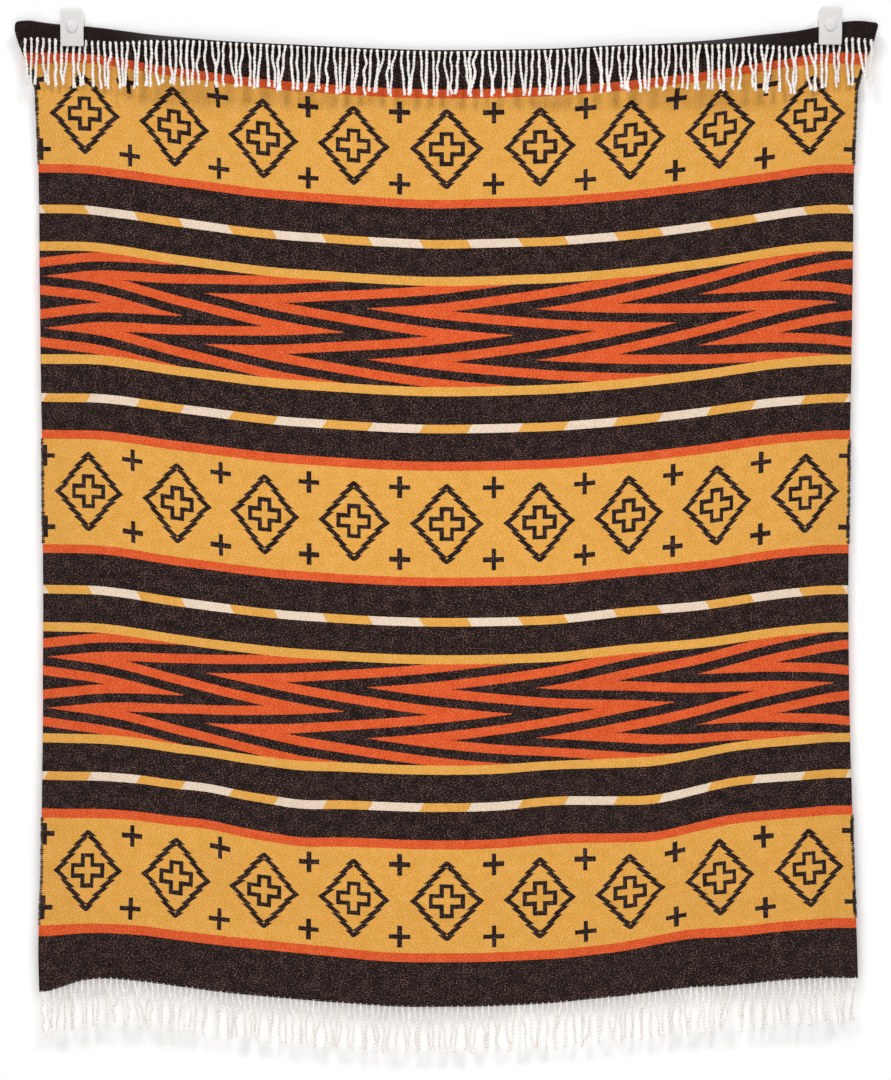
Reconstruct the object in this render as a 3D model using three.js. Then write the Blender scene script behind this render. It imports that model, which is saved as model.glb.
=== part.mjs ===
// A woven wool throw with fringed ends, hung on a wall by two plastic clips.
// Millimetres, +Z up, +X to the right and the front of the throw facing -Y. The origin lies on the wall
// plane, on the cloth's middle line and level with the fold that the clips close on.

import * as THREE from 'three';

const { clamp, degToRad, lerp, seededRandom, smoothstep } = THREE.MathUtils;

// The cloth
const CLOTH_WIDTH = 1370;
const CLOTH_LENGTH = 1520;
const CLOTH_THICKNESS = 2.5;
const HALF_WIDTH = CLOTH_WIDTH / 2;
const SHEET_COLUMNS = 44;
const SHEET_ROWS = 25;
const ROW_SPREAD = 1.15;

// The fringe at each end: strands fused into a narrow root strip, a hair away from the cloth's edge
const STRANDS = 139;
const STRAND_PITCH = CLOTH_WIDTH / STRANDS;
const STRAND_LENGTH = 67;
const STRAND_UNEVENNESS = 3.5;
const STRAND_BEND = 4;
const STRAND_FORWARD = 1;
const PAIR_LEAN = 0.6;
const SWAY = 4;
const SWAY_STEP = 0.37;
const STRIP_HEIGHT = 3;
const STRIP_THICKNESS = 2.2;
const STRIP_GAP = 0.5;
const PIECE_GAP = 0.3;

// The clips
const CLIP_WIDTH = 36;
const CLIP_HEIGHT = 60;
const CLIP_CHAMFER = 5;
const BACK_JAW_DEPTH = 12;
const FRONT_JAW_DEPTH = 6;
const HINGE_BOTTOM = 8;
const BUTTON_RADIUS = 9.8;
const BUTTON_RISE = 3.2;
const BUTTON_RIM = 0.8;
const BUTTON_SIDES = 24;
const BUTTON_STEPS = 4;
const CLIPS = [
  { name: 'left', x: -589, top: 25 },
  { name: 'right', x: 607, top: 27.5 },
];

// How the cloth stands off the wall, and the level that its top end would have if it weren't turned over
const FOLD_RADIUS = 3;
const QUARTER_TURN = (FOLD_RADIUS * Math.PI) / 2;
const TOP_STAND_OFF = BACK_JAW_DEPTH + PIECE_GAP + CLOTH_THICKNESS / 2;
const BODY_STAND_OFF = 20;
const TOP_LEVEL = -31.5;

// A place on the cloth is u, across from the middle, and s, down from the top end to the bottom hem.
// The heading: the cloth that is turned over past the crest, and how far it turns, in degrees from upright
const HEADING = [
  { u: -685, flap: 31, turn: 180 },
  { u: -655, flap: 30, turn: 180 },
  { u: -610, flap: 27, turn: 180 },
  { u: -550, flap: 25, turn: 180 },
  { u: -475, flap: 22, turn: 136 },
  { u: -390, flap: 18.5, turn: 110 },
  { u: -236, flap: 12, turn: 99 },
  { u: 0, flap: 9, turn: 98 },
  { u: 250, flap: 12, turn: 99 },
  { u: 332, flap: 16, turn: 107 },
  { u: 415, flap: 20, turn: 122 },
  { u: 482, flap: 23, turn: 140 },
  { u: 575, flap: 29, turn: 180 },
  { u: 685, flap: 31, turn: 180 },
];

// The lift of the cross threads above the sagging middle, and how much of it there is at the top and the hem
const LIFT = [
  { u: -685, rise: 57 },
  { u: -609, rise: 56 },
  { u: -444, rise: 34 },
  { u: -240, rise: 11 },
  { u: 0, rise: 0 },
  { u: 154, rise: 3 },
  { u: 254, rise: 9.5 },
  { u: 421, rise: 27 },
  { u: 589, rise: 51 },
  { u: 660, rise: 56 },
  { u: 685, rise: 56 },
];
const LIFT_AT_TOP = 1.04;
const LIFT_AT_HEM = 0.84;

// How far each side edge draws in, as a share of its distance from the middle: by the length below the crest,
// and at the edge of the flap
const DRAW_IN = [
  { below: 0, left: 0, right: 0 },
  { below: 22, left: 0.0095, right: 0.012 },
  { below: 35, left: 0.0195, right: 0.019 },
  { below: 60, left: 0.036, right: 0.036 },
  { below: 100, left: 0.054, right: 0.05 },
  { below: 440, left: 0.064, right: 0.061 },
  { below: 910, left: 0.071, right: 0.07 },
  { below: 1310, left: 0.067, right: 0.058 },
  { below: 1440, left: 0.06, right: 0.05 },
  { below: 1510, left: 0.064, right: 0.047 },
];
const FLAP_DRAW_IN = { left: 0.024, right: 0.012 };
const DRAW_IN_SPREAD = 0.75;

// The soft doubled corners at both ends of the crest: how far their rounding reaches across and down
const CORNERS = {
  left: { across: 18, down: 12 },
  right: { across: 12, down: 8 },
};

// Soft folds, each along a line on the cloth: half its width, and how far it stands forward
const FOLDS = [
  { fromU: -590, fromS: 90, toU: -570, toS: 1520, reach: 75, rise: 7 },
  { fromU: 605, fromS: 90, toU: 590, toS: 1520, reach: 70, rise: 6 },
  { fromU: -700, fromS: 200, toU: -700, toS: 1520, reach: 60, rise: -7 },
  { fromU: 700, fromS: 200, toU: 700, toS: 1520, reach: 60, rise: -7 },
  { fromU: -200, fromS: 180, toU: -170, toS: 900, reach: 95, rise: 5 },
  { fromU: -20, fromS: 60, toU: -10, toS: 420, reach: 55, rise: -4 },
  { fromU: 150, fromS: 120, toU: 190, toS: 1000, reach: 100, rise: 4 },
  { fromU: -395, fromS: 930, toU: -330, toS: 1330, reach: 42, rise: 6 },
  { fromU: -300, fromS: 1000, toU: -255, toS: 1400, reach: 40, rise: -4 },
  { fromU: 300, fromS: 1050, toU: 330, toS: 1450, reach: 45, rise: -5 },
  { fromU: 410, fromS: 1010, toU: 370, toS: 1430, reach: 45, rise: 6 },
  { fromU: -110, fromS: 1330, toU: -90, toS: 1560, reach: 60, rise: 5 },
  { fromU: 120, fromS: 1380, toU: 130, toS: 1560, reach: 50, rise: -4 },
];
const FOLDS_START = 90;
const FOLDS_FULL = 240;

// Places where the cross threads are pulled up or have dropped
const PULLS = [
  { u: -672, s: 30, reachU: 45, reachS: 35, rise: 12 },
  { u: 652, s: 30, reachU: 70, reachS: 35, rise: 12 },
  { u: -685, s: 95, reachU: 55, reachS: 45, rise: -6 },
  { u: 685, s: 100, reachU: 55, reachS: 45, rise: -6 },
  { u: -570, s: 280, reachU: 65, reachS: 100, rise: -4 },
  { u: 550, s: 240, reachU: 60, reachS: 80, rise: -3 },
  { u: -630, s: 610, reachU: 130, reachS: 100, rise: -5 },
  { u: 630, s: 610, reachU: 110, reachS: 100, rise: -5 },
  { u: 300, s: 940, reachU: 90, reachS: 130, rise: 4 },
  { u: 180, s: 1220, reachU: 75, reachS: 110, rise: 7 },
  { u: -500, s: 1330, reachU: 90, reachS: 220, rise: 7 },
  { u: 480, s: 1220, reachU: 70, reachS: 100, rise: 6 },
  { u: 395, s: 1440, reachU: 70, reachS: 120, rise: 10 },
  { u: -240, s: 1255, reachU: 55, reachS: 120, rise: -5 },
  { u: -390, s: 1255, reachU: 60, reachS: 120, rise: 6 },
  { u: -300, s: 1430, reachU: 150, reachS: 90, rise: 7 },
  { u: 340, s: 1245, reachU: 50, reachS: 120, rise: -5 },
  { u: 610, s: 1260, reachU: 200, reachS: 110, rise: 6 },
  { u: 560, s: 1430, reachU: 250, reachS: 90, rise: 10 },
  { u: 270, s: 1520, reachU: 100, reachS: 100, rise: 5 },
  { u: -685, s: 1536, reachU: 60, reachS: 80, rise: -26 },
  { u: 685, s: 1536, reachU: 70, reachS: 80, rise: -6 },
];

// Places along a strand: its share of the length, and half the strand's width and depth there
const STRAND_RINGS = [
  { share: 0, halfWidth: 1.9, halfDepth: 1.1 },
  { share: 0.18, halfWidth: 2.1, halfDepth: 1.2 },
  { share: 0.55, halfWidth: 2.5, halfDepth: 2.2 },
  { share: 1, halfWidth: 2.3, halfDepth: 2.1 },
];

// A smooth curve through a table's rows that never swings past them
function curveThrough(rows, across, value) {
  const steps = rows.slice(1).map((row, i) => {
    const before = rows[i];
    return (row[value] - before[value]) / (row[across] - before[across]);
  });
  const slopes = rows.map((row, i) => {
    const before = steps[Math.max(i - 1, 0)];
    const after = steps[Math.min(i, steps.length - 1)];
    return before * after > 0 ? (2 * before * after) / (before + after) : 0;
  });
  return (x) => {
    let i = 0;
    while (i < rows.length - 2 && x > rows[i + 1][across]) i += 1;
    const span = rows[i + 1][across] - rows[i][across];
    const t = clamp((x - rows[i][across]) / span, 0, 1);
    const ease = t * t * (3 - 2 * t);
    const leaving = t * (1 - t) * (1 - t) * span * slopes[i];
    const arriving = t * t * (t - 1) * span * slopes[i + 1];
    return lerp(rows[i][value], rows[i + 1][value], ease) + leaving + arriving;
  };
}

const flapAt = curveThrough(HEADING, 'u', 'flap');
const turnAt = curveThrough(HEADING, 'u', 'turn');
const liftAt = curveThrough(LIFT, 'u', 'rise');
const drawInLeft = curveThrough(DRAW_IN, 'below', 'left');
const drawInRight = curveThrough(DRAW_IN, 'below', 'right');

function bell(distance) {
  return Math.exp(-distance * distance);
}

// How far the folds stand forward at a place on the cloth
function relief(u, s) {
  return FOLDS.reduce((sum, fold) => {
    const alongU = fold.toU - fold.fromU;
    const alongS = fold.toS - fold.fromS;
    const share = ((u - fold.fromU) * alongU + (s - fold.fromS) * alongS) / (alongU ** 2 + alongS ** 2);
    const t = clamp(share, 0, 1);
    const away = Math.hypot(u - fold.fromU - t * alongU, s - fold.fromS - t * alongS);
    return sum + fold.rise * bell(away / fold.reach);
  }, 0);
}

function pulled(u, s) {
  return PULLS.reduce(
    (sum, pull) => sum + pull.rise * bell((u - pull.u) / pull.reachU) * bell((s - pull.s) / pull.reachS),
    0,
  );
}

// How far across a place lies, by the draw-in of both sides and the round corners at the crest's ends
function acrossAt(u, drawIn, fromCrest) {
  const side = u < 0 ? 'left' : 'right';
  const { across, down } = CORNERS[side];
  const spread = Math.sin((Math.PI / 2) * Math.min(Math.abs(u) / HALF_WIDTH, 1) ** DRAW_IN_SPREAD);
  const short = clamp(1 - fromCrest / down, 0, 1);
  const rounded = across * (1 - Math.sqrt(1 - short ** 2));
  const atCorner = smoothstep(Math.abs(u), HALF_WIDTH - 3 * across, HALF_WIDTH);
  return u * (1 - drawIn[side] * spread) - Math.sign(u) * rounded * atCorner;
}

// The middle of the cloth below its crest
function bodyPoint(u, s) {
  const below = s - flapAt(u);
  const out = smoothstep(below, FOLDS_START, 2 * FOLDS_FULL);
  const standOff = lerp(TOP_STAND_OFF, BODY_STAND_OFF, out);
  const forward = standOff + relief(u, s) * smoothstep(below, FOLDS_START, FOLDS_FULL);
  const lift = liftAt(u) * lerp(LIFT_AT_TOP, LIFT_AT_HEM, s / CLOTH_LENGTH);
  const across = acrossAt(u, { left: drawInLeft(below), right: drawInRight(below) }, below);
  return new THREE.Vector3(across, -forward, TOP_LEVEL - s + lift + pulled(u, s));
}

// The middle of the cloth anywhere: the body, the crest that turns forward, and the flap past it
function clothPoint(u, s) {
  const past = s - flapAt(u);
  if (past >= QUARTER_TURN) return bodyPoint(u, s);
  const point = bodyPoint(u, flapAt(u) + QUARTER_TURN);
  const lastAngle = degToRad(90 - turnAt(u));
  const angle = Math.max(past / FOLD_RADIUS, lastAngle);
  const straight = angle * FOLD_RADIUS - past;
  const flapShare = clamp(-past / flapAt(u), 0, 1);
  const drawIn = { left: FLAP_DRAW_IN.left * flapShare, right: FLAP_DRAW_IN.right * flapShare };
  point.x = acrossAt(u, drawIn, Math.abs(past));
  point.y += FOLD_RADIUS * (Math.sin(angle) - 1) - straight * Math.cos(angle);
  point.z += FOLD_RADIUS * Math.cos(angle) + straight * Math.sin(angle);
  return point;
}

// The normal of the cloth's patterned face
function clothNormal(u, s) {
  const step = 0.5;
  const down = clothPoint(u, s + step).sub(clothPoint(u, s - step));
  const right = clothPoint(u + step, s).sub(clothPoint(u - step, s));
  return down.cross(right).normalize();
}

// The rows of the sheet's grid at one u: the flap, the crest and the body
function sheetRows(u) {
  const flap = flapAt(u);
  const flapArc = FOLD_RADIUS * degToRad(turnAt(u) - 90);
  const straight = flap - flapArc;
  const start = flap + QUARTER_TURN;
  const rows = [0, straight / 2, straight, flap - flapArc / 2, flap, flap + QUARTER_TURN / 2];
  for (let row = 0; row <= SHEET_ROWS; row += 1) {
    rows.push(lerp(start, CLOTH_LENGTH, (row / SHEET_ROWS) ** ROW_SPREAD));
  }
  return rows;
}

function solid(name, points, triangles, material) {
  const geometry = new THREE.BufferGeometry().setFromPoints(points);
  geometry.setIndex(triangles.flat());
  geometry.computeVertexNormals();
  const mesh = new THREE.Mesh(geometry, material);
  mesh.name = name;
  return mesh;
}

function wool(color) {
  return new THREE.MeshStandardMaterial({ color, roughness: 0.95, metalness: 0 });
}

function clipPlastic() {
  return new THREE.MeshStandardMaterial({ color: '#e4e1df', roughness: 0.5, metalness: 0 });
}

function columnU(column) {
  return lerp(-HALF_WIDTH, HALF_WIDTH, column / SHEET_COLUMNS);
}

// The sheet: its patterned face and its reverse, closed by a rim
function blanket() {
  const points = [];
  const triangles = [];
  const columns = SHEET_COLUMNS + 1;
  const grid = Array.from({ length: columns }, (_, i) => {
    const u = columnU(i);
    return sheetRows(u).map((s) => {
      const middle = clothPoint(u, s);
      const offset = clothNormal(u, s).multiplyScalar(CLOTH_THICKNESS / 2);
      points.push(middle.clone().add(offset), middle.clone().sub(offset));
      return points.length - 2;
    });
  });
  const rows = grid[0].length;
  const face = (i, j) => grid[i][j];
  const reverse = (i, j) => grid[i][j] + 1;
  for (let i = 0; i < columns - 1; i += 1) {
    for (let j = 0; j < rows - 1; j += 1) {
      triangles.push(
        [face(i, j), face(i, j + 1), face(i + 1, j + 1)],
        [face(i, j), face(i + 1, j + 1), face(i + 1, j)],
        [reverse(i, j), reverse(i + 1, j + 1), reverse(i, j + 1)],
        [reverse(i, j), reverse(i + 1, j), reverse(i + 1, j + 1)],
      );
    }
  }
  const corners = [[0, 0], [0, rows - 1], [columns - 1, rows - 1], [columns - 1, 0], [0, 0]];
  for (let side = 0; side < 4; side += 1) {
    const [fromI, fromJ] = corners[side];
    const [toI, toJ] = corners[side + 1];
    const steps = Math.abs(toI - fromI) + Math.abs(toJ - fromJ);
    const place = (k) => [lerp(fromI, toI, k / steps), lerp(fromJ, toJ, k / steps)].map(Math.round);
    for (let k = 0; k < steps; k += 1) {
      const here = place(k);
      const next = place(k + 1);
      triangles.push(
        [face(...here), reverse(...here), reverse(...next)],
        [face(...here), reverse(...next), face(...next)],
      );
    }
  }
  return solid('blanket', points, triangles, wool('#7a4d2a'));
}

// A number from -1 to 1 that is always the same for the same strand
function unevenness(strand, choice) {
  return 2 * seededRandom(strand + STRANDS * choice) - 1;
}

// The strip between two rows of corners, as triangles; each row is a list of { u, corner }
function ladder(first, second, keep = () => true) {
  const triangles = [];
  let i = 0;
  let j = 0;
  while (i < first.length - 1 || j < second.length - 1) {
    const atFirst = first[i + 1]?.u ?? Infinity;
    const atSecond = second[j + 1]?.u ?? Infinity;
    const stepFirst = atFirst <= atSecond;
    const next = stepFirst ? first[i + 1] : second[j + 1];
    const triangle = [first[i].corner, next.corner, second[j].corner];
    if (keep(first[i], next)) triangles.push(triangle);
    if (stepFirst) i += 1;
    else j += 1;
  }
  return triangles;
}

function turnedRound(triangles) {
  return triangles.map(([a, b, c]) => [a, c, b]);
}

// A fringe: one comb-like solid, a strip along the cloth's edge at s and the three-sided strands on it
function fringe(name, edgeS, outward, seed) {
  const points = [];
  const triangles = [];
  const addPoint = (point) => points.push(point) - 1;
  const edgeFrame = (u) => {
    const place = ((u + HALF_WIDTH) / CLOTH_WIDTH) * SHEET_COLUMNS;
    const column = clamp(Math.floor(place), 0, SHEET_COLUMNS - 1);
    const pointAt = (s) => {
      const next = clothPoint(columnU(column + 1), s);
      return clothPoint(columnU(column), s).lerp(next, place - column);
    };
    const edge = pointAt(edgeS);
    const leaving = pointAt(edgeS + outward).sub(edge).setX(0).normalize();
    return { edge, leaving, front: new THREE.Vector3(0, leaving.z, -leaving.y) };
  };
  const stripCorner = (u, away, side) => {
    const { edge, leaving, front } = edgeFrame(u);
    const point = edge.addScaledVector(leaving, away).addScaledVector(front, (side * STRIP_THICKNESS) / 2);
    return { u, corner: addPoint(point) };
  };
  const near = STRIP_GAP;
  const far = STRIP_GAP + STRIP_HEIGHT;
  const end = HALF_WIDTH - PIECE_GAP;
  const frontNear = [stripCorner(-end, near, 1)];
  const backNear = [stripCorner(-end, near, -1)];
  const frontFar = [stripCorner(-end, far, 1)];
  const backFar = [stripCorner(-end, far, -1)];

  for (let strand = 0; strand < STRANDS; strand += 1) {
    const u = (strand + 0.5) * STRAND_PITCH - HALF_WIDTH;
    const root = STRAND_RINGS[0];
    frontNear.push(stripCorner(u, near, 1));
    backNear.push(stripCorner(u, near, -1));
    const rootLeft = { ...stripCorner(u - root.halfWidth, far, 1), strand };
    const rootRight = { ...stripCorner(u + root.halfWidth, far, 1), strand };
    const rootBack = stripCorner(u, far, -1);
    frontFar.push(rootLeft, rootRight);
    backFar.push(rootBack);

    const { edge, leaving } = edgeFrame(u);
    const start = edge.clone().addScaledVector(leaving, far);
    const length = STRAND_LENGTH + STRAND_UNEVENNESS * unevenness(strand, seed);
    const odd = strand % 2;
    const pairLean = PAIR_LEAN * (1 + unevenness(strand - odd, seed + 1)) * (odd ? -1 : 1);
    const lean = pairLean + SWAY * Math.sin(strand * SWAY_STEP + seed);
    const forward = STRAND_FORWARD * (1 + unevenness(strand, seed + 2));
    const middleAt = (along) => {
      const bend = STRAND_BEND * (1 - Math.exp(-along / STRAND_BEND));
      const share = along / length;
      const middle = start.clone().addScaledVector(leaving, bend);
      middle.x += lean * share;
      middle.y -= forward * share * share;
      middle.z -= along - bend;
      return middle;
    };
    let ring = [rootLeft.corner, rootRight.corner, rootBack.corner];
    STRAND_RINGS.slice(1).forEach(({ share, halfWidth, halfDepth }) => {
      const middle = middleAt(share * length);
      const section = [[-halfWidth, -halfDepth], [halfWidth, -halfDepth], [0, halfDepth]];
      const next = section.map(([x, y]) => addPoint(new THREE.Vector3(x, y, 0).add(middle)));
      for (let side = 0; side < 3; side += 1) {
        const other = (side + 1) % 3;
        triangles.push([ring[side], next[side], next[other]], [ring[side], next[other], ring[other]]);
      }
      ring = next;
    });
    triangles.push([ring[0], ring[2], ring[1]]);
  }
  frontNear.push(stripCorner(end, near, 1));
  backNear.push(stripCorner(end, near, -1));
  frontFar.push(stripCorner(end, far, 1));
  backFar.push(stripCorner(end, far, -1));

  const betweenStrands = (a, b) => a.strand === undefined || a.strand !== b.strand;
  triangles.push(...ladder(frontNear, backNear));
  triangles.push(...turnedRound(ladder(frontFar, backFar, betweenStrands)));
  triangles.push(...ladder(frontFar, frontNear));
  triangles.push(...turnedRound(ladder(backFar, backNear)));
  const endCorners = (at) => [frontFar, frontNear, backNear, backFar].map((row) => row.at(at).corner);
  const [a, b, c, d] = endCorners(0);
  triangles.push([a, b, c], [a, c, d]);
  const [e, f, g, h] = endCorners(-1);
  triangles.push([e, g, f], [e, h, g]);
  return solid(name, points, triangles, wool('#f4ece2'));
}

// A flat plate of a clip, with chamfered top corners, between two depths in front of the wall
function clipPlate(name, bottom, top, back, front) {
  const half = CLIP_WIDTH / 2;
  const outline = new THREE.Shape([
    new THREE.Vector2(-half, bottom),
    new THREE.Vector2(half, bottom),
    new THREE.Vector2(half, top - CLIP_CHAMFER),
    new THREE.Vector2(half - CLIP_CHAMFER, top),
    new THREE.Vector2(-half + CLIP_CHAMFER, top),
    new THREE.Vector2(-half, top - CLIP_CHAMFER),
  ]);
  const geometry = new THREE.ExtrudeGeometry(outline, { depth: front - back, bevelEnabled: false });
  geometry.rotateX(Math.PI / 2);
  geometry.translate(0, -back, 0);
  const plate = new THREE.Mesh(geometry, clipPlastic());
  plate.name = name;
  return plate;
}

// The round raised button on the front jaw
function clipButton(name, back, height) {
  const profile = [new THREE.Vector2(0, 0), new THREE.Vector2(BUTTON_RADIUS, 0)];
  for (let step = 0; step < BUTTON_STEPS; step += 1) {
    const angle = (step / BUTTON_STEPS) * (Math.PI / 2);
    const rise = lerp(BUTTON_RIM, BUTTON_RISE, Math.sin(angle));
    profile.push(new THREE.Vector2(BUTTON_RADIUS * Math.cos(angle), rise));
  }
  profile.push(new THREE.Vector2(0, BUTTON_RISE));
  const geometry = new THREE.LatheGeometry(profile, BUTTON_SIDES);
  geometry.rotateX(Math.PI);
  geometry.translate(0, -back, height);
  const button = new THREE.Mesh(geometry, clipPlastic());
  button.name = name;
  return button;
}

// One clip: a back jaw on the wall, a hinge block over the cloth's crest, a front jaw and its button
function clip({ name, x, top }) {
  const bottom = top - CLIP_HEIGHT;
  const hingeBack = BACK_JAW_DEPTH + PIECE_GAP;
  const frontJawBack = TOP_STAND_OFF + 2 * FOLD_RADIUS + CLOTH_THICKNESS / 2 + PIECE_GAP;
  const frontJawFront = frontJawBack + FRONT_JAW_DEPTH;
  const group = new THREE.Group();
  group.position.x = x;
  group.add(
    clipPlate(`clip_${name}_back`, bottom, top, 0, BACK_JAW_DEPTH),
    clipPlate(`clip_${name}_hinge`, HINGE_BOTTOM, top, hingeBack, frontJawBack - PIECE_GAP),
    clipPlate(`clip_${name}_front`, bottom, top, frontJawBack, frontJawFront),
    clipButton(`clip_${name}_button`, frontJawFront + PIECE_GAP, (bottom + top) / 2),
  );
  return group;
}

const throwBlanket = new THREE.Group();
throwBlanket.add(
  blanket(),
  fringe('fringe_top', 0, -1, 1),
  fringe('fringe_bottom', CLOTH_LENGTH, 1, 5),
  ...CLIPS.map(clip),
);

export default throwBlanket;
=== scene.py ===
import math

import bmesh
import bpy
import numpy as np
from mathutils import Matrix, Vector


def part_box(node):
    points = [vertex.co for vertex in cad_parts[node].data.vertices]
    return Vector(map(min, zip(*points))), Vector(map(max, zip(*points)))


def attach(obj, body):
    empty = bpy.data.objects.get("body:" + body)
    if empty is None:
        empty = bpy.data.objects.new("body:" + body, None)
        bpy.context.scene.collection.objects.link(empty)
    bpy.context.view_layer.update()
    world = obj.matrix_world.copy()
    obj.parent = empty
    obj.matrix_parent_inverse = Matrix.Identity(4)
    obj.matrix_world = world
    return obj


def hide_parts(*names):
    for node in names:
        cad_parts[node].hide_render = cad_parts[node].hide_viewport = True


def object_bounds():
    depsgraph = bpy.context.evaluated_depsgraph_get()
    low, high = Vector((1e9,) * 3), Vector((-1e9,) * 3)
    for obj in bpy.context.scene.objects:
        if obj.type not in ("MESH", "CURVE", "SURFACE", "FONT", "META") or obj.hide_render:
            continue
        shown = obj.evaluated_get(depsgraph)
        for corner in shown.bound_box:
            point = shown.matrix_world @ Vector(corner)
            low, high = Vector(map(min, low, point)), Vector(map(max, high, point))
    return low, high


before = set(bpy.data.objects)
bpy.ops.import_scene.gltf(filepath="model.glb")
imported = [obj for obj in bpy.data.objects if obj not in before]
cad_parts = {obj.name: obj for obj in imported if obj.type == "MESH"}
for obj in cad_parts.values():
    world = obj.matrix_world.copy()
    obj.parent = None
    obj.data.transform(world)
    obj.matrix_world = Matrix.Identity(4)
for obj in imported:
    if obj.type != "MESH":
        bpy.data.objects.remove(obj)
cad_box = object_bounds()


# The throw
# One length of fulled wool double cloth, woven in bands on a jacquard loom. It hangs by its top corners:
# its top end is turned forward over the clips, the middle sags and the sides draw in.
# A place on the cloth is u, across from the middle, and s, down from the top end to the bottom hem.
CLOTH_WIDTH = 1.37
CLOTH_LENGTH = 1.52
CLOTH_THICKNESS = 0.0025
HALF_WIDTH = CLOTH_WIDTH / 2
JAW_GAP = 0.0003
FOLD_RADIUS = 0.003
QUARTER_TURN = FOLD_RADIUS * math.pi / 2
TOP_STAND_OFF = JAW_GAP + CLOTH_THICKNESS / 2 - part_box("clip_left_back")[0].y
BODY_STAND_OFF = 0.020
TOP_LEVEL = -0.0315

# The heading: the cloth turned over past the crest, and how far it turns, in degrees from upright
HEADING = {
    "u": [
        -0.685, -0.655, -0.610, -0.550, -0.475, -0.390, -0.236,
        0, 0.250, 0.332, 0.415, 0.482, 0.575, 0.685,
    ],
    "flap": [
        0.031, 0.030, 0.027, 0.025, 0.022, 0.0185, 0.012,
        0.009, 0.012, 0.016, 0.020, 0.023, 0.029, 0.031,
    ],
    "turn": [180, 180, 180, 180, 136, 110, 99, 98, 99, 107, 122, 140, 180, 180],
}
# The lift of the cross threads above the sagging middle, and how much of it there is at the top and the hem
LIFT = {
    "u": [-0.685, -0.609, -0.444, -0.240, 0, 0.154, 0.254, 0.421, 0.589, 0.660, 0.685],
    "rise": [0.057, 0.056, 0.034, 0.011, 0, 0.003, 0.0095, 0.027, 0.051, 0.056, 0.056],
}
LIFT_AT_TOP = 1.04
LIFT_AT_HEM = 0.84
# How far each side edge draws in by the length below the crest, as a share of its distance from the middle
DRAW_IN = {
    "below": [0, 0.022, 0.035, 0.060, 0.100, 0.440, 0.910, 1.310, 1.440, 1.510],
    "left": [0, 0.0095, 0.0195, 0.036, 0.054, 0.064, 0.071, 0.067, 0.060, 0.064],
    "right": [0, 0.012, 0.019, 0.036, 0.050, 0.061, 0.070, 0.058, 0.050, 0.047],
}
FLAP_DRAW_IN = {"left": 0.024, "right": 0.012}  # at the flap's edge
DRAW_IN_SPREAD = 0.75
# The soft doubled corners at both ends of the crest: how far their rounding reaches across and down
CORNER_ACROSS = {"left": 0.018, "right": 0.012}
CORNER_DOWN = {"left": 0.012, "right": 0.008}
# Soft folds along a line on the cloth: from u and s, to u and s, half the width, how far it stands forward
FOLDS = [
    (-0.590, 0.090, -0.570, 1.520, 0.075, 0.007),
    (0.605, 0.090, 0.590, 1.520, 0.070, 0.006),
    (-0.700, 0.200, -0.700, 1.520, 0.060, -0.007),
    (0.700, 0.200, 0.700, 1.520, 0.060, -0.007),
    (-0.200, 0.180, -0.170, 0.900, 0.095, 0.005),
    (-0.020, 0.060, -0.010, 0.420, 0.055, -0.004),
    (0.150, 0.120, 0.190, 1.000, 0.100, 0.004),
    (-0.395, 0.930, -0.330, 1.330, 0.042, 0.006),
    (-0.300, 1.000, -0.255, 1.400, 0.040, -0.004),
    (0.300, 1.050, 0.330, 1.450, 0.045, -0.005),
    (0.410, 1.010, 0.370, 1.430, 0.045, 0.006),
    (-0.110, 1.330, -0.090, 1.560, 0.060, 0.005),
    (0.120, 1.380, 0.130, 1.560, 0.050, -0.004),
]
FOLDS_START = 0.090
FOLDS_FULL = 0.240
# Places where the cross threads are pulled up or have dropped: u, s, reach across and down, rise
PULLS = [
    (-0.672, 0.030, 0.045, 0.035, 0.012),
    (0.652, 0.030, 0.070, 0.035, 0.012),
    (-0.685, 0.095, 0.055, 0.045, -0.006),
    (0.685, 0.100, 0.055, 0.045, -0.006),
    (-0.570, 0.280, 0.065, 0.100, -0.004),
    (0.550, 0.240, 0.060, 0.080, -0.003),
    (-0.630, 0.610, 0.130, 0.100, -0.005),
    (0.630, 0.610, 0.110, 0.100, -0.005),
    (0.300, 0.940, 0.090, 0.130, 0.004),
    (0.180, 1.220, 0.075, 0.110, 0.007),
    (-0.500, 1.330, 0.090, 0.220, 0.007),
    (0.480, 1.220, 0.070, 0.100, 0.006),
    (0.395, 1.440, 0.070, 0.120, 0.010),
    (-0.240, 1.255, 0.055, 0.120, -0.005),
    (-0.390, 1.255, 0.060, 0.120, 0.006),
    (-0.300, 1.430, 0.150, 0.090, 0.007),
    (0.340, 1.245, 0.050, 0.120, -0.005),
    (0.610, 1.260, 0.200, 0.110, 0.006),
    (0.560, 1.430, 0.250, 0.090, 0.010),
    (0.270, 1.520, 0.100, 0.100, 0.005),
    (-0.685, 1.536, 0.060, 0.080, -0.026),
    (0.685, 1.536, 0.070, 0.080, -0.006),
]


def smooth_step(value, low, high):
    share = np.clip((value - low) / (high - low), 0, 1)
    return share * share * (3 - 2 * share)


def bell(distance):
    return np.exp(-distance * distance)


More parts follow.
